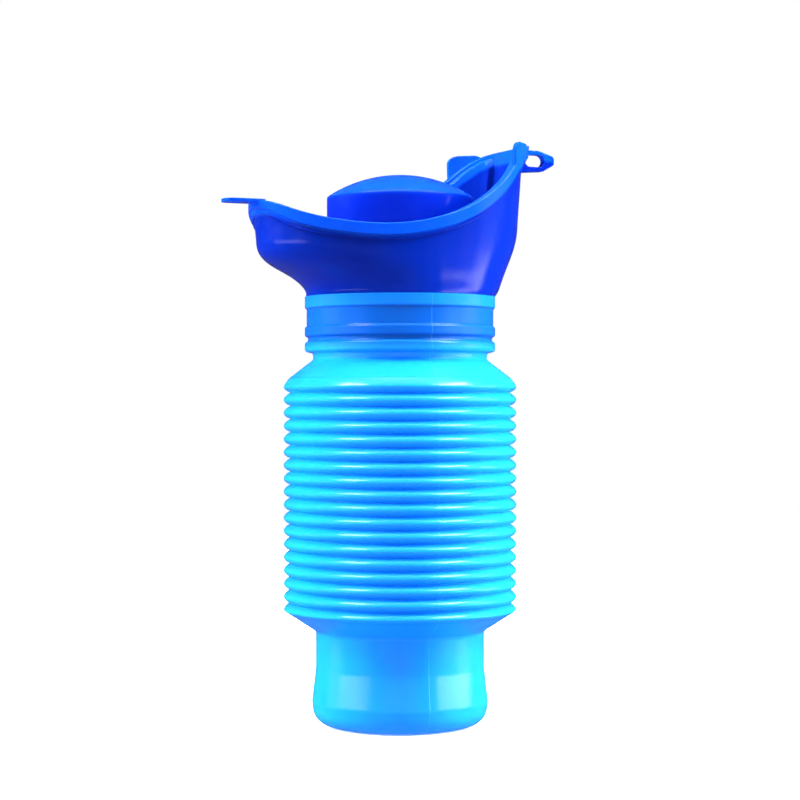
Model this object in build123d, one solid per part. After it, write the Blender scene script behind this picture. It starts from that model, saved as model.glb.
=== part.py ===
from build123d import *
import math
import os

# Collapsible urine bottle: a blow-moulded bottle with a bellows body, a push-in scoop funnel on its
# neck, and a domed cap that plugs the funnel's throat. Millimetres, +Z up, origin at the centre of
# the face the foot rests on. The funnel's low lip points to -X and its high end to +X.

# Foot of the bottle
FOOT_REST_INNER_R = 20.0
FOOT_REST_OUTER_R = 26.0
FOOT_WIDEST_R = 34.0
FOOT_WIDEST_Z = 9.0
FOOT_HEEL_R = 33.0
FOOT_HEEL_Z = 0.6
FOOT_WAIST_Z = 22.0
FOOT_TOP_R = 32.5
FOOT_TOP_Z = 36.0
FOOT_DOME_RISE = 2.2
FOOT_CORNER_R = 7.0
BOTTLE_WALL = 1.2

# Bellows: crests of equal pitch between the two cones of the bottle
CREST_COUNT = 18
CREST_PITCH = 5.04
LOWEST_CREST_Z = 44.9
CREST_SHARP_R = 46.06
ROOT_SHARP_R = 41.76
CREST_FILLET = 1.5
ROOT_FILLET = 0.8
BELLOWS_END_R = 42.6
BELLOWS_BOTTOM_Z = 42.6
BELLOWS_TOP_Z = 133.3
BELLOWS_SKIN = 1.5

# Neck collar of the bottle
WAIST_R = 33.4
WAIST_Z = 140.4
COLLAR_TOP_Z = 164.4
COLLAR_BAND_R = 36.0
COLLAR_BEAD_R = 36.7
COLLAR_GROOVE_R = 35.5
COLLAR_BORE_R = 34.6
COLLAR_BORE_BOTTOM_Z = 145.5
COLLAR_LEAD = 2.4

# Beads of the collar, each a bottom and top height, and the height of their sloped flanks
LOWER_BEAD = (143.4, 146.7)
MIDDLE_BEAD = (149.4, 152.5)
TOP_BEAD_BOTTOM_Z = 160.2
BEAD_FLANK = 0.7

# Running clearance between a seal ring and the part it turns in, and along its groove
SEAL_GAP = 0.08
SEAL_END_GAP = 0.1

# Funnel: spigot, shoulder and bowl
SPIGOT_R = 33.9
SPIGOT_BOTTOM_Z = 148.0
SPIGOT_CHAMFER = 0.8
THROAT_R = 31.0
FUNNEL_WALL = 1.8
FUNNEL_SEAL_Z = 156.0
FUNNEL_SEAL_HEIGHT = 3.2
FUNNEL_SEAL_ROOT_R = 32.4

# Outside of the bowl, one row per level: height, reach to -X, reach to +X, half width in Y.
# Above the last row the wall runs straight up to WALL_TOP in equal steps.
BOWL_LEVELS = [
    (COLLAR_TOP_Z, 36.4, 36.4, 36.4),
    (168.0, 37.5, 38.9, 36.6),
    (171.0, 41.4, 40.1, 36.8),
    (174.0, 47.4, 41.4, 37.0),
    (177.0, 53.2, 42.8, 37.1),
    (180.0, 56.3, 44.2, 37.2),
    (184.0, 57.6, 45.8, 37.3),
    (189.0, 58.1, 47.0, 37.4),
]
WALL_TOP = (231.0, 59.0, 50.4, 38.0)
WALL_STEPS = 7

# Height of the rim along X: low over the two flanks, raised a little at the lip and most at the back
RIM_LINE = [
    (-66.0, 200.2),
    (-60.0, 199.2),
    (-52.0, 195.1),
    (-38.0, 190.9),
    (-21.5, 189.7),
    (-4.0, 192.1),
    (14.5, 199.0),
    (29.8, 209.6),
    (38.6, 218.2),
    (45.0, 222.6),
    (50.0, 224.2),
    (56.0, 224.6),
]
RIM_BAND_REACH = 2.4
RIM_BAND_HEIGHT = 4.2
RIM_STEP_REACH = 1.1
RIM_STEP_HEIGHT = 5.9
RIM_EDGE_R = 0.4
LIP_DROP_SHARE = 0.45
LIP_DROP_FADE = 22.0
WIDE = 60.0

# Inside of the high end: raised flank panels with a pour channel between them
PANEL_DEPTH = 2.2
PANEL_DROP = 1.0
PANEL_START_X = 12.0
PANEL_BOTTOM_Z = 184.0
PANEL_CORNER_R = 3.5
PANEL_EDGE_R = 0.8
CHANNEL_HALF_WIDTH = 9.5

# Outside of the high end: a hang loop and two finger tabs that rise out of the rim band
LOOP_ROOT_X = 48.6
LOOP_TIP_X = 67.0
LOOP_TOP_Z = 223.8
LOOP_BOTTOM_Z = 214.6
LOOP_THICKNESS = 3.2
LOOP_NOSE = (218.4, 221.6)
LOOP_LOWER_BEND_X = 62.0
LOOP_UPPER_BEND_X = 60.0
LOOP_EYE_X = 58.2
LOOP_EYE_Z = 219.7
LOOP_EYE_LENGTH = 8.6
LOOP_EYE_HEIGHT = 4.8
TAB_START_X = 34.6
TAB_END_X = 45.0
TAB_TOP_Z = 223.4
TAB_BOTTOM_Z = 208.0
TAB_CORNER_R = 3.2
TAB_THICKNESS = 2.2

# Low end of the funnel: a flat lifting ear with a cord hole
EAR_TIP_X = -72.6
EAR_ROOT_X = -57.5
EAR_WIDTH = 10.0
EAR_TOP_Z = 199.7
EAR_THICKNESS = 1.2
EAR_HOLE_R = 2.1
EAR_HOLE_INSET = 4.6
EAR_TIP_R = 4.0

# Cap: plug, tapered skirt and dome
CAP_PLUG_R = 30.5
CAP_PLUG_BOTTOM_Z = 152.0
CAP_FLANGE_R = 33.2
CAP_FLANGE_HEIGHT = 2.0
CAP_EDGE_R = 28.2
CAP_EDGE_Z = 202.6
CAP_TOP_Z = 211.4
CAP_WALL = 2.0
CAP_PLUG_WALL = 1.6
CAP_SKIRT_SPREAD = 2.2
CAP_SKIRT_STRAIGHT_Z = 194.0
CAP_BORE_STEP_Z = 163.0
CAP_BORE_WIDE_Z = 169.0
CAP_SEAL_Z = 157.0
CAP_SEAL_HEIGHT = 3.0
CAP_SEAL_ROOT_R = 29.1

SEAT_Z = COLLAR_TOP_Z + FUNNEL_WALL


def spin(outline):
    """Revolve a closed outline, drawn in X (radius) and Z, about the Z axis."""
    return revolve(Plane.XZ * make_face(outline), Axis.Z)


def ring(inner_r, outer_r, bottom_z, top_z):
    """A plain ring about the Z axis."""
    height = top_z - bottom_z
    tube = Cylinder(outer_r, height) - Cylinder(inner_r, height)
    return Pos(0, 0, (bottom_z + top_z) / 2) * tube


def wedge_of(points, half_width):
    """Extrude a closed outline, drawn in X and Z, to half_width on both sides of the XZ plane."""
    return extrude(Plane.XZ * make_face(points), half_width, both=True)


def bottle_foot():
    """Foot, straight body and lower cone, up to where the bellows starts."""
    wall = BOTTLE_WALL
    outer = FilletPolyline(
        (FOOT_REST_OUTER_R, 0),
        (FOOT_HEEL_R, FOOT_HEEL_Z),
        (FOOT_WIDEST_R, FOOT_WIDEST_Z),
        (FOOT_TOP_R, FOOT_WAIST_Z),
        (FOOT_TOP_R, FOOT_TOP_Z),
        (BELLOWS_END_R, BELLOWS_BOTTOM_Z),
        radius=[FOOT_CORNER_R, 6.0, 10.0, 2.0],
    )
    inner = FilletPolyline(
        (BELLOWS_END_R - BELLOWS_SKIN, BELLOWS_BOTTOM_Z),
        (FOOT_TOP_R - wall, FOOT_TOP_Z + 0.6),
        (FOOT_TOP_R - wall, FOOT_WAIST_Z),
        (FOOT_WIDEST_R - wall, FOOT_WIDEST_Z),
        (FOOT_WIDEST_R - wall - 1.2, 1.9),
        (FOOT_REST_OUTER_R - 0.5, wall),
        radius=[2.5, 8.0, 5.0, 5.5],
    )
    base = Polyline(
        (FOOT_REST_OUTER_R - 0.5, wall),
        (FOOT_REST_INNER_R + 0.5, wall),
        (FOOT_REST_INNER_R - 1.5, wall + FOOT_DOME_RISE),
        (0, wall + FOOT_DOME_RISE),
        (0, FOOT_DOME_RISE),
        (FOOT_REST_INNER_R - 2.0, FOOT_DOME_RISE),
        (FOOT_REST_INNER_R, 0),
        (FOOT_REST_OUTER_R, 0),
    )
    end_face = Line(outer @ 1, inner @ 0)
    return spin(Curve() + [outer, end_face, inner, base])


def bellows_line(shift):
    """One side of the bellows wall from its lower end to its upper end, moved inwards by shift."""
    points = [(BELLOWS_END_R - shift, BELLOWS_BOTTOM_Z)]
    radii = []
    for crest in range(CREST_COUNT):
        crest_z = LOWEST_CREST_Z + crest * CREST_PITCH
        points.append((CREST_SHARP_R - shift, crest_z))
        radii.append(CREST_FILLET)
        if crest < CREST_COUNT - 1:
            points.append((ROOT_SHARP_R - shift, crest_z + CREST_PITCH / 2))
            radii.append(ROOT_FILLET)
    points.append((BELLOWS_END_R - shift, BELLOWS_TOP_Z))
    return FilletPolyline(points, radius=radii)


def bellows():
    """Thin folded wall that shortens when the bottle is pressed down."""
    outer = bellows_line(0.0)
    inner = bellows_line(BELLOWS_SKIN)
    bottom = Line(outer @ 0, inner @ 0)
    top = Line(outer @ 1, inner @ 1)
    return spin(Curve() + [outer, top, inner, bottom])


def bottle_neck():
    """Upper cone, waist and beaded collar that holds the funnel's spigot."""
    outer = FilletPolyline(
        (BELLOWS_END_R, BELLOWS_TOP_Z),
        (WAIST_R, WAIST_Z),
        (WAIST_R + 0.3, LOWER_BEAD[0] - BEAD_FLANK),
        (COLLAR_BEAD_R, LOWER_BEAD[0]),
        (COLLAR_BEAD_R, LOWER_BEAD[1]),
        (COLLAR_GROOVE_R, LOWER_BEAD[1] + BEAD_FLANK),
        (COLLAR_GROOVE_R, MIDDLE_BEAD[0] - BEAD_FLANK),
        (COLLAR_BEAD_R, MIDDLE_BEAD[0]),
        (COLLAR_BEAD_R, MIDDLE_BEAD[1]),
        (COLLAR_BAND_R, MIDDLE_BEAD[1] + BEAD_FLANK),
        (COLLAR_BAND_R, TOP_BEAD_BOTTOM_Z - BEAD_FLANK),
        (COLLAR_BEAD_R, TOP_BEAD_BOTTOM_Z),
        (COLLAR_BEAD_R, COLLAR_TOP_Z),
        radius=[1.2, 0.6, 1.2, 0.9, 0.5, 0.5, 0.9, 0.9, 0.5, 0.4, 0.8],
    )
    inner = FilletPolyline(
        (COLLAR_BORE_R, COLLAR_TOP_Z),
        (COLLAR_BORE_R, COLLAR_BORE_BOTTOM_Z),
        (WAIST_R - BOTTLE_WALL, COLLAR_BORE_BOTTOM_Z - COLLAR_LEAD),
        (WAIST_R - BOTTLE_WALL, WAIST_Z - 0.7),
        (BELLOWS_END_R - BELLOWS_SKIN, BELLOWS_TOP_Z),
        radius=[1.0, 0.8, 1.5],
    )
    top = Line(outer @ 1, inner @ 0)
    bottom = Line(inner @ 1, outer @ 0)
    return spin(Curve() + [outer, top, inner, bottom])


def egg_section(level, grow, lift):
    """Closed outline of the bowl at one level, grown outwards by grow and raised by lift."""
    height, back, front, half_width = level
    half_width += grow
    plane = Plane.XY.offset(height + lift)
    front_half = EllipticalCenterArc((0, 0), front + grow, half_width, -90, arc_size=180)
    back_half = EllipticalCenterArc((0, 0), back + grow, half_width, 90, arc_size=180)
    return plane * make_face(Curve() + [front_half, back_half])


def bowl_levels():
    """Every level of the bowl, with the straight wall's own levels worked out."""
    levels = list(BOWL_LEVELS)
    lower = BOWL_LEVELS[-1]
    for step in range(1, WALL_STEPS + 1):
        share = step / WALL_STEPS
        levels.append(tuple(a + (b - a) * share for a, b in zip(lower, WALL_TOP)))
    return levels


def bowl_body(grow, lift=0.0):
    """Solid of the bowl's outer shape, grown outwards by grow and raised by lift."""
    return loft([egg_section(level, grow, lift) for level in bowl_levels()])


def rim_curve(drop):
    """The rim line, moved square to itself by drop."""
    points = []
    last = len(RIM_LINE) - 1
    for index, (x, z) in enumerate(RIM_LINE):
        before = RIM_LINE[max(index - 1, 0)]
        after = RIM_LINE[min(index + 1, last)]
        slope = math.atan2(after[1] - before[1], after[0] - before[0])
        local_drop = drop * min(1.0, max(LIP_DROP_SHARE, (x - EAR_TIP_X) / LIP_DROP_FADE))
        points.append((x + local_drop * math.sin(slope), z - local_drop * math.cos(slope)))
    return Spline(points)


def below_rim(drop):
    """Everything under the rim line moved down by drop, as a wide block."""
    edge = rim_curve(drop)
    floor_z = COLLAR_TOP_Z - 1.0
    start = edge @ 0
    end = edge @ 1
    sides = Polyline((end.X, end.Y), (end.X, floor_z), (start.X, floor_z), (start.X, start.Y))
    return wedge_of(Curve() + [edge, sides], WIDE)


def tab_block():
    """Block whose rounded front view is the outline of the two finger tabs."""
    width = TAB_END_X - TAB_START_X
    height = TAB_TOP_Z - TAB_BOTTOM_Z
    centre = Pos((TAB_START_X + TAB_END_X) / 2, 0, (TAB_TOP_Z + TAB_BOTTOM_Z) / 2)
    block = centre * Box(width, 2 * WIDE, height)
    top_corners = block.edges().filter_by(Axis.Y).group_by(Axis.Z)[-1]
    return fillet(top_corners, TAB_CORNER_R)


def rim_band():
    """Turned-out band along the rim with the finger tabs, and a smaller step under it."""
    under_rim = below_rim(0.0)
    blank = bowl_body(RIM_BAND_REACH) & (under_rim + tab_block())
    side_edges = blank.faces().filter_by(GeomType.BSPLINE).edges()
    top_edges = side_edges.filter_by(lambda edge: edge.bounding_box().size.X > 1 and edge.center().Z > SEAT_Z)
    band = fillet(top_edges, RIM_EDGE_R) - below_rim(RIM_BAND_HEIGHT)
    step = bowl_body(RIM_STEP_REACH) & (under_rim - below_rim(RIM_STEP_HEIGHT))
    behind_tabs = bowl_body(RIM_BAND_REACH - TAB_THICKNESS) - under_rim
    return band - behind_tabs + step


def flank_panel(side):
    """Raised panel inside the flank on one side (1 or -1) of the XZ plane, beside the pour channel."""
    size = WIDE - PANEL_START_X
    centre = Pos(PANEL_START_X + size / 2, side * (CHANNEL_HALF_WIDTH + WIDE / 2), PANEL_BOTTOM_Z + WIDE / 2)
    zone = centre * Box(size, WIDE, WIDE) & below_rim(PANEL_DROP)
    by_channel = zone.edges().filter_by(lambda edge: abs(edge.center().Y) < CHANNEL_HALF_WIDTH + 0.1)
    zone = fillet(by_channel.sort_by(Axis.Z)[-1], PANEL_CORNER_R)
    panel = (zone & bowl_body(-FUNNEL_WALL / 2)) - bowl_body(-FUNNEL_WALL - PANEL_DEPTH, FUNNEL_WALL)
    inner_face = panel.faces().filter_by(GeomType.BSPLINE).sort_by(SortBy.AREA)[-2]
    inner_edges = inner_face.edges().filter_by(lambda edge: edge.center().Z > PANEL_BOTTOM_Z + 1)
    return fillet(inner_edges, PANEL_EDGE_R)


def hang_loop():
    """Upright loop behind the high end, for hanging the bottle up, cut to meet the bowl's outside."""
    outline = FilletPolyline(
        (LOOP_ROOT_X, LOOP_BOTTOM_Z),
        (LOOP_LOWER_BEND_X, LOOP_BOTTOM_Z + 1.0),
        (LOOP_TIP_X, LOOP_NOSE[0]),
        (LOOP_TIP_X, LOOP_NOSE[1]),
        (LOOP_UPPER_BEND_X, LOOP_TOP_Z),
        (LOOP_ROOT_X, LOOP_TOP_Z),
        radius=[1.5, 1.4, 1.4, 2.5],
    )
    closing = Line(outline @ 1, outline @ 0)
    plate = wedge_of(Curve() + [outline, closing], LOOP_THICKNESS / 2)
    eye = Pos(LOOP_EYE_X, 0, LOOP_EYE_Z) * Rot(90, 0, 0) * extrude(
        SlotOverall(LOOP_EYE_LENGTH, LOOP_EYE_HEIGHT), LOOP_THICKNESS, both=True
    )
    return plate - eye - bowl_outside()


def lifting_ear():
    """Flat ear at the low lip, with a cord hole near its rounded tip."""
    length = EAR_ROOT_X - EAR_TIP_X
    plate = Box(length, EAR_WIDTH, EAR_THICKNESS)
    tip_corners = plate.edges().filter_by(Axis.Z).group_by(Axis.X)[0]
    plate = fillet(tip_corners, EAR_TIP_R)
    hole = Pos(-length / 2 + EAR_HOLE_INSET, 0, 0) * Cylinder(EAR_HOLE_R, EAR_THICKNESS * 2)
    return Pos((EAR_ROOT_X + EAR_TIP_X) / 2, 0, EAR_TOP_Z - EAR_THICKNESS / 2) * (plate - hole)


def funnel_spigot():
    """Tube that pushes into the collar, with the groove for its seal ring."""
    tube = ring(THROAT_R, SPIGOT_R, SPIGOT_BOTTOM_Z, SEAT_Z)
    lead_in = tube.edges().filter_by(GeomType.CIRCLE).group_by(Axis.Z)[0].sort_by(SortBy.RADIUS)[-1]
    tube = chamfer(lead_in, SPIGOT_CHAMFER)
    groove = ring(FUNNEL_SEAL_ROOT_R, SPIGOT_R + 1.0, FUNNEL_SEAL_Z, FUNNEL_SEAL_Z + FUNNEL_SEAL_HEIGHT)
    return tube - groove


def bowl_outside():
    """Outside of the bowl with its rim band, as one solid without the hollow."""
    return (bowl_body(0.0) & below_rim(0.0)) + rim_band()


def funnel():
    """One-piece scoop funnel: spigot, bowl, rim, tabs, panels and ear."""
    shell = bowl_outside() - bowl_body(-FUNNEL_WALL, FUNNEL_WALL)
    shell = shell + flank_panel(1) + flank_panel(-1)
    shell = shell - Pos(0, 0, SEAT_Z) * Cylinder(THROAT_R, 20.0)
    return shell + lifting_ear() + funnel_spigot()


def funnel_seal():
    """Soft ring between the funnel's spigot and the collar."""
    bottom_z = FUNNEL_SEAL_Z + SEAL_END_GAP
    top_z = FUNNEL_SEAL_Z + FUNNEL_SEAL_HEIGHT - SEAL_END_GAP
    return ring(FUNNEL_SEAL_ROOT_R + SEAL_GAP, COLLAR_BORE_R - SEAL_GAP, bottom_z, top_z)


def dome_arc(edge_r, edge_z, top_z):
    """Arc of a round dome from its edge up to the Z axis."""
    rise = top_z - edge_z
    radius = (edge_r**2 + rise**2) / (2 * rise)
    edge_angle = math.degrees(math.asin((radius - rise) / radius))
    return CenterArc((0, top_z - radius), radius, edge_angle, 90 - edge_angle)


def cap():
    """Hollow domed cap whose open plug goes into the funnel's throat."""
    flange_top_z = SEAT_Z + CAP_FLANGE_HEIGHT
    dome = dome_arc(CAP_EDGE_R - 0.7, CAP_EDGE_Z + 0.7, CAP_TOP_Z)
    roof = dome_arc(CAP_EDGE_R - CAP_WALL - 1.0, CAP_EDGE_Z - CAP_WALL + 0.7, CAP_TOP_Z - CAP_WALL)
    plug_bore_r = CAP_SEAL_ROOT_R - CAP_PLUG_WALL
    skirt = FilletPolyline(
        (plug_bore_r, CAP_PLUG_BOTTOM_Z),
        (CAP_PLUG_R, CAP_PLUG_BOTTOM_Z),
        (CAP_PLUG_R, SEAT_Z),
        (CAP_FLANGE_R, SEAT_Z),
        (CAP_FLANGE_R, flange_top_z),
        (CAP_EDGE_R + CAP_SKIRT_SPREAD, flange_top_z),
        (CAP_EDGE_R, CAP_SKIRT_STRAIGHT_Z),
        (CAP_EDGE_R, CAP_EDGE_Z),
        dome @ 0,
        radius=[0.8, 0, 0.6, 0.6, 1.0, 20.0, 0.3],
    )
    bore = Polyline(
        roof @ 0,
        (CAP_EDGE_R - CAP_WALL, CAP_EDGE_Z - CAP_WALL - 1.0),
        (CAP_EDGE_R - CAP_WALL, CAP_BORE_WIDE_Z),
        (plug_bore_r, CAP_BORE_STEP_Z),
        (plug_bore_r, CAP_PLUG_BOTTOM_Z),
    )
    axis_line = Line(dome @ 1, roof @ 1)
    body = spin(Curve() + [skirt, dome, axis_line, roof, bore])
    groove = ring(CAP_SEAL_ROOT_R, CAP_PLUG_R + 1.0, CAP_SEAL_Z, CAP_SEAL_Z + CAP_SEAL_HEIGHT)
    return body - groove


def cap_seal():
    """Soft ring between the cap's plug and the funnel's throat."""
    bottom_z = CAP_SEAL_Z + SEAL_END_GAP
    top_z = CAP_SEAL_Z + CAP_SEAL_HEIGHT - SEAL_END_GAP
    return ring(CAP_SEAL_ROOT_R + SEAL_GAP, THROAT_R - SEAL_GAP, bottom_z, top_z)


PARTS = {
    "bottle_foot": bottle_foot,
    "bellows": bellows,
    "bottle_neck": bottle_neck,
    "funnel": funnel,
    "hang_loop": hang_loop,
    "funnel_seal": funnel_seal,
    "cap": cap,
    "cap_seal": cap_seal,
}

os.makedirs("parts", exist_ok=True)
for node, make in PARTS.items():
    export_step(make(), f"parts/{node}.step")
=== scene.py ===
import math

import bpy
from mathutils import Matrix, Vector


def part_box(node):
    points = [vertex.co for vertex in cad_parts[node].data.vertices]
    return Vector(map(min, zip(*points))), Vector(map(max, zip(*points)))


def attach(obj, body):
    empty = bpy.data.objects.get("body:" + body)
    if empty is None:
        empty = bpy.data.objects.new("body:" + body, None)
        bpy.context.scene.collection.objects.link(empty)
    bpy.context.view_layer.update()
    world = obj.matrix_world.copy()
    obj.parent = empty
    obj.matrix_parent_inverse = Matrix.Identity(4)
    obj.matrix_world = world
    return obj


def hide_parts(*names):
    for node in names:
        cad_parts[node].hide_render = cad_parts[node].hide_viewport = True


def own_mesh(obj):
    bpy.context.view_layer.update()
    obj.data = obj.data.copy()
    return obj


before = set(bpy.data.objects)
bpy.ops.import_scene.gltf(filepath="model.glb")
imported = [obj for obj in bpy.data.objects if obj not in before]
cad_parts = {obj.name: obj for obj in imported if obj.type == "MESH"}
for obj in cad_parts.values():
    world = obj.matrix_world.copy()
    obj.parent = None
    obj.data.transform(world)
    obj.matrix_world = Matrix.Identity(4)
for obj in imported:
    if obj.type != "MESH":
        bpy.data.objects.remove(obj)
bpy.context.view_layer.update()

MM = 0.001

# Camera: level, a little above the middle of the object, far enough for a long lens
CAMERA_DISTANCE = 0.813
CAMERA_HEIGHT = 0.1248
CAMERA_TURN = math.radians(-25.0)
CAMERA_LENS = 94.8
CAMERA_SENSOR = 36.0

# Studio
FLOOR_RADIUS = 1.2
FLOOR_SEGMENTS = 96
WORLD_SEEN = 1.0
WORLD_FRONT = 0.50
WORLD_BACK = 0.6
WORLD_BELOW = 1.5
WORLD_MIRRORED = 0.12
AIM_Z = 0.12
SUN_STRENGTH = 1.5
SUN_SOFTNESS = math.radians(60.0)

# Softboxes: name, bearing in degrees from the camera to its right, distance, height, size, power, and
# whether glossy surfaces mirror it. The windows and glints make the highlights, the rest only light.
SOFTBOXES = [
    ("left_edge_light", -97.0, 0.9, 0.27, (0.45, 0.8), 37.0, False),
    ("right_edge_light", 97.0, 0.9, 0.27, (0.45, 0.8), 41.0, False),
    ("left_window", -63.0, 0.8, 0.07, (0.66, 0.075), 1.0, True),
    ("right_window", 77.0, 0.8, 0.07, (0.80, 0.075), 2.2, True),
    ("left_glint", -58.0, 0.6, 0.75, (0.35, 0.2), 8.0, True),
    ("right_glint", 66.0, 0.6, 0.75, (0.45, 0.2), 11.0, True),
    ("top_softbox", 0.0, 0.08, 1.0, (0.5, 0.5), 22.0, False),
    ("low_fill", 0.0, 0.7, 0.03, (0.6, 0.2), 2.6, False),
]

# Bellows body of the bottle, between the CAD's foot and neck
CREST_COUNT = 18
CREST_PITCH = 5.04 * MM
LOWEST_CREST_Z = 44.5 * MM
CREST_R = 44.85 * MM
ROOT_R = 42.1 * MM
BELLOWS_END_R = 42.6 * MM
BELLOWS_WALL = 1.3 * MM
CREST_SKEW = 0.86
CREST_POWER = 1.85
CREST_ROUNDING = 0.85
END_ROUNDING = 1.25
STEPS_PER_CREST = 18
ROUND_SEGMENTS = 224

# The mould's parting plane holds the Z axis and points this way round it
PARTING_ANGLE = math.radians(-96.0)
PARTING_HALF_WIDTH = 0.16 * MM

# Heights where the dark spigot shows through the collar
SPIGOT_BOTTOM_Z = 147.5 * MM
TOP_BEAD_Z = 160.0 * MM

# The funnel's rim line in millimetres (X, Z), its lowest and highest values, and the height of the band of
# painted light below the rim
RIM_LINE = [
    (-73.0, 200.2), (-60.0, 199.2), (-52.0, 195.1), (-38.0, 190.9), (-21.5, 189.7), (-4.0, 192.1),
    (14.5, 199.0), (29.8, 209.6), (38.6, 218.2), (45.0, 222.6), (67.0, 224.6),
]
RIM_LOW_Z = 180.0
RIM_TOP_Z = 230.0
RIM_BAND = 4.6 * MM
# Paler blue painted along the rim band: painted light, for the rim lit from above through the plastic
RIM_PAINTED_LIGHT_BLUE = (0.0010, 0.046, 0.44)
# Depth and paler blue painted over the cap's dome top: painted reflection of the bright ceiling
DOME_DEPTH = 8.6 * MM
DOME_PAINTED_REFLECTION_BLUE = (0.0012, 0.035, 0.36)

# Colours of the plastics, each from its darker to its lighter flow lines
BOTTLE_BLUES = ((0.004, 0.200, 0.92), (0.007, 0.232, 0.96))
SPIGOT_BLUE = (0.0004, 0.032, 0.22)
PARTING_BLUE = (0.10, 0.55, 1.0)
FUNNEL_BLUES = ((0.0002, 0.008, 0.190), (0.0003, 0.012, 0.235))
CAP_BLUES = ((0.0003, 0.009, 0.29), (0.0006, 0.013, 0.34))
SEAL_GREYS = ((0.075, 0.095, 0.12), (0.11, 0.135, 0.165))


def ground_direction(bearing):
    """Level unit vector at a bearing from the camera's side of the object, positive to its right."""
    angle = CAMERA_TURN + bearing
    return Vector((math.sin(angle), -math.cos(angle), 0.0))


def add_camera():
    """Level camera that looks at the bottle's axis from its front left."""
    data = bpy.data.cameras.new("camera")
    data.lens = CAMERA_LENS
    data.sensor_width = CAMERA_SENSOR
    camera = bpy.data.objects.new("camera", data)
    bpy.context.scene.collection.objects.link(camera)
    camera.location = CAMERA_DISTANCE * ground_direction(0.0) + Vector((0.0, 0.0, CAMERA_HEIGHT))
    camera.rotation_euler = (math.radians(90.0), 0.0, CAMERA_TURN)
    bpy.context.scene.camera = camera


def add_softbox(name, bearing, distance, height, size, power, mirrored):
    """Rectangular light at a bearing (degrees) round the object, turned towards its axis."""
    data = bpy.data.lights.new(name, "AREA")
    data.shape = "RECTANGLE"
    data.size, data.size_y = size
    data.energy = power
    light = bpy.data.objects.new(name, data)
    bpy.context.scene.collection.objects.link(light)
    place = distance * ground_direction(math.radians(bearing)) + Vector((0.0, 0.0, height))
    light.location = place
    light.visible_glossy = mirrored
    aim = Vector((0.0, 0.0, AIM_Z)) - place
    light.rotation_euler = aim.to_track_quat("-Z", "Y").to_euler()


def add_lights():
    """Every softbox, and a wide soft sun."""
    for name, bearing, distance, height, size, power, mirrored in SOFTBOXES:
        add_softbox(name, bearing, distance, height, size, power, mirrored)
    data = bpy.data.lights.new("wide_sun", "SUN")
    data.energy = SUN_STRENGTH
    data.angle = SUN_SOFTNESS
    sun = bpy.data.objects.new("wide_sun", data)
    bpy.context.scene.collection.objects.link(sun)


def add_floor():
    """Wide round pale floor."""
    corners = []
    for step in range(FLOOR_SEGMENTS):
        angle = math.tau * step / FLOOR_SEGMENTS
        corners.append((FLOOR_RADIUS * math.cos(angle), FLOOR_RADIUS * math.sin(angle), 0.0))
    mesh = bpy.data.meshes.new("floor")
    mesh.from_pydata(corners, [], [tuple(range(FLOOR_SEGMENTS))])
    floor = bpy.data.objects.new("floor", mesh)
    bpy.context.scene.collection.objects.link(floor)
    material = Material("studio_floor")
    grain = material.noise(scale=40.0, detail=3.0)
    shade = material.ramp(grain, [(0.3, (0.94, 0.94, 0.94)), (0.7, (0.97, 0.97, 0.97))])
    material.set("Base Color", shade)
    material.set("Roughness", 0.85)
    mesh.materials.append(material.block)
    floor.visible_glossy = False
    floor.visible_diffuse = False


def world_step(tree, operation, first, second):
    """One math step in the world's nodes; each input is a socket or a plain value."""
    node = tree.nodes.new("ShaderNodeMath")
    node.operation = operation
    for source, target in zip((first, second), node.inputs):
        if isinstance(source, bpy.types.NodeSocket):
            tree.links.new(source, target)
        else:
            target.default_value = source
    return node.outputs[0]


def world_range(tree, value, start, low, high):
    """Value mapped from start..1 to low..high in the world's nodes."""
    node = tree.nodes.new("ShaderNodeMapRange")
    node.inputs["From Min"].default_value = start
    node.inputs["To Min"].default_value = low
    node.inputs["To Max"].default_value = high
    tree.links.new(value, node.inputs["Value"])
    return node.outputs["Result"]


def add_world():
    """White studio: a little brighter behind the object, much brighter below, as from a pale table."""
    world = bpy.data.worlds.new("studio")
    bpy.context.scene.world = world
    world.use_nodes = True
    tree = world.node_tree
    place = tree.nodes.new("ShaderNodeTexCoord").outputs["Generated"]
    path = tree.nodes.new("ShaderNodeLightPath")
    facing = tree.nodes.new("ShaderNodeVectorMath")
    facing.operation = "DOT_PRODUCT"
    facing.inputs[1].default_value = ground_direction(math.pi)
    tree.links.new(place, facing.inputs[0])
    height = tree.nodes.new("ShaderNodeSeparateXYZ")
    tree.links.new(place, height.inputs[0])
    around = world_range(tree, facing.outputs["Value"], -1.0, WORLD_FRONT, WORLD_BACK)
    below = world_step(tree, "MULTIPLY", height.outputs["Z"], -WORLD_BELOW)
    total = world_step(tree, "ADD", around, world_step(tree, "MAXIMUM", below, 0.0))
    mirrored = world_range(tree, path.outputs["Is Glossy Ray"], 0.0, 1.0, WORLD_MIRRORED)
    light = tree.nodes["Background"]
    seen = tree.nodes.new("ShaderNodeBackground")
    for background in (light, seen):
        background.inputs["Color"].default_value = (1.0, 1.0, 1.0, 1.0)
    tree.links.new(world_step(tree, "MULTIPLY", total, mirrored), light.inputs["Strength"])
    seen.inputs["Strength"].default_value = WORLD_SEEN
    mix = tree.nodes.new("ShaderNodeMixShader")
    tree.links.new(path.outputs["Is Camera Ray"], mix.inputs["Fac"])
    tree.links.new(light.outputs["Background"], mix.inputs[1])
    tree.links.new(seen.outputs["Background"], mix.inputs[2])
    tree.links.new(mix.outputs["Shader"], tree.nodes["World Output"].inputs["Surface"])


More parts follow.
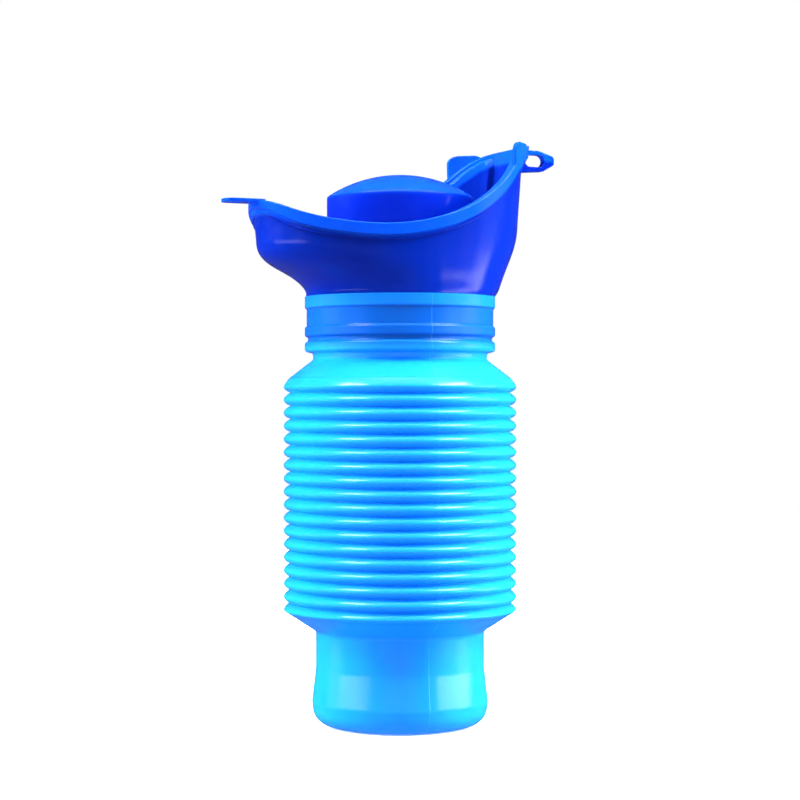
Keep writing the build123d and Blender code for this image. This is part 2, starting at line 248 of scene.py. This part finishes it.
class Material:
    """A Principled material with short calls for the nodes used here, all in object space."""

    def __init__(self, name):
        self.block = bpy.data.materials.new(name)
        self.block.use_nodes = True
        self.tree = self.block.node_tree
        self.shader = self.tree.nodes["Principled BSDF"]
        self.place = self.add("ShaderNodeTexCoord").outputs["Object"]

    def add(self, kind, **settings):
        """New node with the given attributes."""
        node = self.tree.nodes.new(kind)
        for name, value in settings.items():
            setattr(node, name, value)
        return node

    def link(self, source, target):
        """Link a socket, or set a plain value."""
        if isinstance(source, bpy.types.NodeSocket):
            self.tree.links.new(source, target)
        else:
            target.default_value = source

    def set(self, name, source):
        """Link or set one of the shader's own sockets."""
        self.link(source, self.shader.inputs[name])

    def math(self, operation, first, second=0.0):
        """One math step."""
        node = self.add("ShaderNodeMath", operation=operation)
        self.link(first, node.inputs[0])
        self.link(second, node.inputs[1])
        return node.outputs[0]

    def axis(self, name):
        """One coordinate of the shaded point."""
        node = self.add("ShaderNodeSeparateXYZ")
        self.link(self.place, node.inputs[0])
        return node.outputs[name]

    def noise(self, scale, detail=2.0, stretch=(1.0, 1.0, 1.0)):
        """Noise value, with the coordinates stretched first."""
        mapping = self.add("ShaderNodeMapping")
        self.link(self.place, mapping.inputs["Vector"])
        mapping.inputs["Scale"].default_value = stretch
        node = self.add("ShaderNodeTexNoise")
        self.link(mapping.outputs["Vector"], node.inputs["Vector"])
        node.inputs["Scale"].default_value = scale
        node.inputs["Detail"].default_value = detail
        return node.outputs["Fac"]

    def range(self, value, start, end, low=0.0, high=1.0):
        """Value mapped smoothly from start..end to low..high."""
        node = self.add("ShaderNodeMapRange", interpolation_type="SMOOTHSTEP")
        self.link(value, node.inputs["Value"])
        node.inputs["From Min"].default_value = start
        node.inputs["From Max"].default_value = end
        node.inputs["To Min"].default_value = low
        node.inputs["To Max"].default_value = high
        return node.outputs["Result"]

    def ramp(self, value, stops):
        """Colour ramp with (position, rgb) stops."""
        node = self.add("ShaderNodeValToRGB")
        self.link(value, node.inputs["Fac"])
        elements = node.color_ramp.elements
        while len(elements) < len(stops):
            elements.new(0.5)
        for element, (position, color) in zip(elements, stops):
            element.position = position
            element.color = (*color, 1.0)
        return node.outputs["Color"]

    def mix(self, share, first, second):
        """Mix of two colours."""
        node = self.add("ShaderNodeMix", data_type="RGBA")
        self.link(share, node.inputs[0])
        self.link(first if isinstance(first, bpy.types.NodeSocket) else (*first, 1.0), node.inputs[6])
        self.link(second if isinstance(second, bpy.types.NodeSocket) else (*second, 1.0), node.inputs[7])
        return node.outputs[2]

    def bump(self, height, distance, strength=1.0, normal=None):
        """Normal bent by a height."""
        node = self.add("ShaderNodeBump")
        self.link(height, node.inputs["Height"])
        node.inputs["Distance"].default_value = distance
        node.inputs["Strength"].default_value = strength
        if normal is not None:
            self.link(normal, node.inputs["Normal"])
        return node.outputs["Normal"]

    def soft_edges(self, radius):
        """Normal with the sharp edges rounded by radius."""
        node = self.add("ShaderNodeBevel", samples=4)
        node.inputs["Radius"].default_value = radius
        return node.outputs["Normal"]

    def scatter(self, weight, radius, scale):
        """Light that spreads inside translucent plastic."""
        self.set("Subsurface Weight", weight)
        self.set("Subsurface Radius", radius)
        self.set("Subsurface Scale", scale)


def parting_line(material):
    """1 on the mould's parting line, 0 away from it."""
    across_x = material.math("MULTIPLY", material.axis("X"), math.sin(PARTING_ANGLE))
    across_y = material.math("MULTIPLY", material.axis("Y"), math.cos(PARTING_ANGLE))
    distance = material.math("ABSOLUTE", material.math("SUBTRACT", across_x, across_y))
    return material.range(distance, 0.0, 2.0 * PARTING_HALF_WIDTH, 1.0, 0.0)


def bottle_plastic():
    """Translucent blow-moulded polyethylene: azure, and darker over the spigot."""
    material = Material("bottle_polyethylene")
    streaks = material.noise(scale=26.0, detail=4.0, stretch=(1.0, 1.0, 0.22))
    body = material.ramp(streaks, [(0.30, BOTTLE_BLUES[0]), (0.70, BOTTLE_BLUES[1])])
    height = material.axis("Z")
    over_spigot = material.range(height, SPIGOT_BOTTOM_Z - 5.0 * MM, SPIGOT_BOTTOM_Z + 1.0 * MM)
    below_bead = material.range(height, TOP_BEAD_Z - 0.4 * MM, TOP_BEAD_Z + 0.4 * MM, 1.0, 0.6)
    share = material.math("MULTIPLY", over_spigot, below_bead)
    color = material.mix(material.math("MULTIPLY", share, 0.8), body, SPIGOT_BLUE)
    line = parting_line(material)
    color = material.mix(material.math("MULTIPLY", line, 0.08), color, PARTING_BLUE)
    material.set("Base Color", color)
    material.set("Roughness", material.range(material.noise(scale=90.0, detail=3.0), 0.3, 0.7, 0.17, 0.24))
    material.scatter(0.45, (0.3, 0.9, 1.4), 3.0 * MM)
    waviness = material.bump(material.noise(scale=170.0, detail=2.0), 0.06 * MM, 0.25)
    material.set("Normal", material.bump(line, PARTING_HALF_WIDTH, 0.25, waviness))
    material.set("Specular IOR Level", 0.3)
    return material.block


def below_cap_top(material):
    """Depth of the shaded point below the top of the cap's dome."""
    return material.math("SUBTRACT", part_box("cap")[1][2], material.axis("Z"))


def below_rim(material):
    """Depth of the shaded point below the funnel's rim."""
    curve = material.add("ShaderNodeFloatCurve")
    span = RIM_LINE[-1][0] - RIM_LINE[0][0]
    rise = RIM_TOP_Z - RIM_LOW_Z
    points = curve.mapping.curves[0].points
    while len(points) < len(RIM_LINE):
        points.new(0.5, 0.5)
    for point, (x, z) in zip(points, RIM_LINE):
        point.location = ((x - RIM_LINE[0][0]) / span, (z - RIM_LOW_Z) / rise)
    curve.mapping.update()
    along = material.math("SUBTRACT", material.axis("X"), RIM_LINE[0][0] * MM)
    material.link(material.math("DIVIDE", along, span * MM), curve.inputs["Value"])
    scaled = material.math("MULTIPLY", curve.outputs["Value"], rise * MM)
    rim_z = material.math("ADD", scaled, RIM_LOW_Z * MM)
    return material.math("SUBTRACT", rim_z, material.axis("Z"))


def glossy_plastic(name, blues, scale, painted_light_blue, edge_depth, band):
    """Glossy injection-moulded polypropylene with faint flow lines, fine scratches, and painted light: a
    paler blue painted near its top edge.
    """
    material = Material(name)
    flow = material.noise(scale=scale, detail=5.0, stretch=(1.0, 1.0, 0.35))
    color = material.ramp(flow, [(0.30, blues[0]), (0.72, blues[1])])
    # Painted light: a paler blue painted within the band below the top edge
    painted_light_share = material.range(edge_depth(material), band * 0.85, band * 1.25, 1.0, 0.0)
    material.set("Base Color", material.mix(painted_light_share, color, painted_light_blue))
    scratches = material.noise(scale=420.0, detail=2.0, stretch=(1.0, 1.0, 0.08))
    material.set("Roughness", material.range(scratches, 0.35, 0.75, 0.14, 0.23))
    material.scatter(0.5, (0.03, 0.3, 1.0), 4.0 * MM)
    rounded = material.soft_edges(0.5 * MM)
    ripple = material.bump(flow, 0.5 * MM, 0.2, rounded)
    material.set("Normal", ripple)
    material.set("Specular IOR Level", 0.15)
    return material.block


def seal_rubber():
    """Grey silicone with a fine matt grain."""
    material = Material("seal_silicone")
    grain = material.noise(scale=700.0, detail=3.0)
    material.set("Base Color", material.ramp(grain, [(0.3, SEAL_GREYS[0]), (0.7, SEAL_GREYS[1])]))
    material.set("Roughness", material.range(grain, 0.3, 0.7, 0.5, 0.65))
    material.scatter(0.4, (1.0, 1.0, 1.0), 1.5 * MM)
    material.set("Normal", material.bump(grain, 0.05 * MM, 0.5))
    return material.block


def crest_shape(turn):
    """Height of the fold from root (0) to crest (1) over one turn; the crest sits below the middle."""
    warped = turn ** CREST_SKEW
    return max(0.0, 1.0 - abs(2.0 * warped - 1.0) ** CREST_POWER) ** CREST_ROUNDING


def bellows_radius(z, bottom, top):
    """Outer radius of the bellows at a height; the end crests run straight out into the two cones."""
    peak = 0.5 ** (1.0 / CREST_SKEW) - 0.5
    lowest = LOWEST_CREST_Z + peak * CREST_PITCH
    highest = lowest + (CREST_COUNT - 1) * CREST_PITCH
    if z < lowest:
        return CREST_R - (CREST_R - BELLOWS_END_R) * ((lowest - z) / (lowest - bottom)) ** END_ROUNDING
    if z > highest:
        return CREST_R - (CREST_R - BELLOWS_END_R) * ((z - highest) / (top - highest)) ** END_ROUNDING
    turn = (z - LOWEST_CREST_Z) / CREST_PITCH + 0.5
    return ROOT_R + (CREST_R - ROOT_R) * crest_shape(turn % 1.0)


def add_bellows(material):
    """Folded wall of the bottle, as one closed shell in place of the CAD's bellows."""
    low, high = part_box("bellows")
    bottom, top = low[2], high[2]
    count = CREST_COUNT * STEPS_PER_CREST
    outline = []
    for step in range(count + 1):
        z = bottom + (top - bottom) * step / count
        outline.append((bellows_radius(z, bottom, top), z))
    outline += [(radius - BELLOWS_WALL, z) for radius, z in reversed(outline)]
    rows = len(outline)
    points = []
    faces = []
    for segment in range(ROUND_SEGMENTS):
        angle = math.tau * segment / ROUND_SEGMENTS
        for radius, z in outline:
            points.append((radius * math.cos(angle), radius * math.sin(angle), z))
    for segment in range(ROUND_SEGMENTS):
        here = segment * rows
        there = (segment + 1) % ROUND_SEGMENTS * rows
        for row in range(rows):
            after = (row + 1) % rows
            faces.append((here + row, there + row, there + after, here + after))
    mesh = bpy.data.meshes.new("bellows_folds")
    mesh.from_pydata(points, [], faces)
    mesh.shade_smooth()
    mesh.materials.append(material)
    piece = bpy.data.objects.new("bellows_folds", mesh)
    bpy.context.scene.collection.objects.link(piece)
    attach(piece, "bottle_base")
    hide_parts("bellows")
    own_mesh(piece)


def dress(node, material):
    """Give a CAD node its material."""
    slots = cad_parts[node].data.materials
    slots.clear()
    slots.append(material)


add_camera()
add_world()
add_floor()
add_lights()
bpy.context.scene.view_settings.view_transform = "Standard"

bottle = bottle_plastic()
funnel_blue = glossy_plastic("funnel_polypropylene", FUNNEL_BLUES, 34.0, RIM_PAINTED_LIGHT_BLUE, below_rim, RIM_BAND)
cap_blue = glossy_plastic("cap_polypropylene", CAP_BLUES, 48.0, DOME_PAINTED_REFLECTION_BLUE, below_cap_top, DOME_DEPTH)
seal = seal_rubber()
add_bellows(bottle)
for node in ("bottle_foot", "bottle_neck"):
    dress(node, bottle)
for node in ("funnel", "hang_loop"):
    dress(node, funnel_blue)
dress("cap", cap_blue)
for node in ("funnel_seal", "cap_seal"):
    dress(node, seal)
